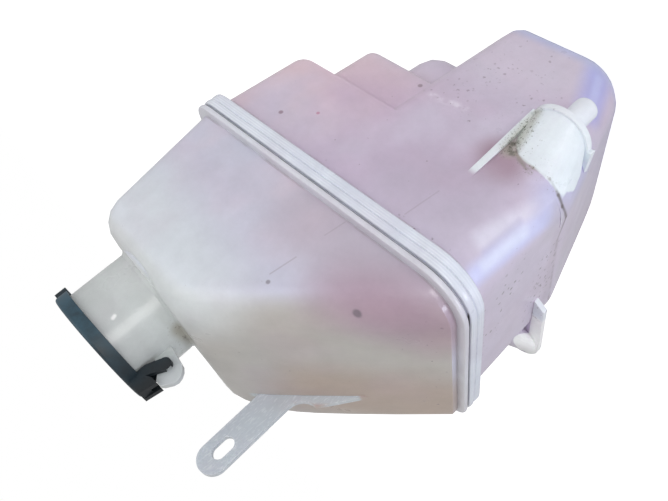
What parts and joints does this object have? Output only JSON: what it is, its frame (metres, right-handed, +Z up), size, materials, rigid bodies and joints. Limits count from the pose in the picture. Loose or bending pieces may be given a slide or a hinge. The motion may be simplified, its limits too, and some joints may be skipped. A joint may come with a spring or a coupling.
{
  "type": "coolant expansion tank",
  "caption": "Translucent engine-bay coolant tank with a stepped welded body, filler neck, hinged black lid, slotted bolt tab, locating pins and a hose spigot.",
  "frame": {"origin": "centre of the upper locating pin, where it leaves its plate", "axes": "+Z up along the filler neck, +X along the weld flange from the shouldered end to the filler neck, -Y out of the broad front face"},
  "size_m": [0.1588, 0.1356, 0.2553],
  "materials": {
    "tank_upper": "milky translucent polypropylene, lightly stained",
    "tank_lower": "milky translucent polypropylene, stained pink by coolant",
    "lid": "black polypropylene, worn satin",
    "seal": "black rubber"
  },
  "bodies": {
    "tank": {"upper_tank_half": "tank_upper", "lower_tank_half": "tank_lower"},
    "lid": {"filler_lid": "lid", "lid_seal": "seal"}
  },
  "joints": [
    {"name": "lid_hinge", "type": "hinge", "parent": "tank", "child": "lid", "pos_m": [0.0595, 0.035, 0.1705], "axis": [0, -1, 0], "range_deg": [0, 150]}
  ]
}
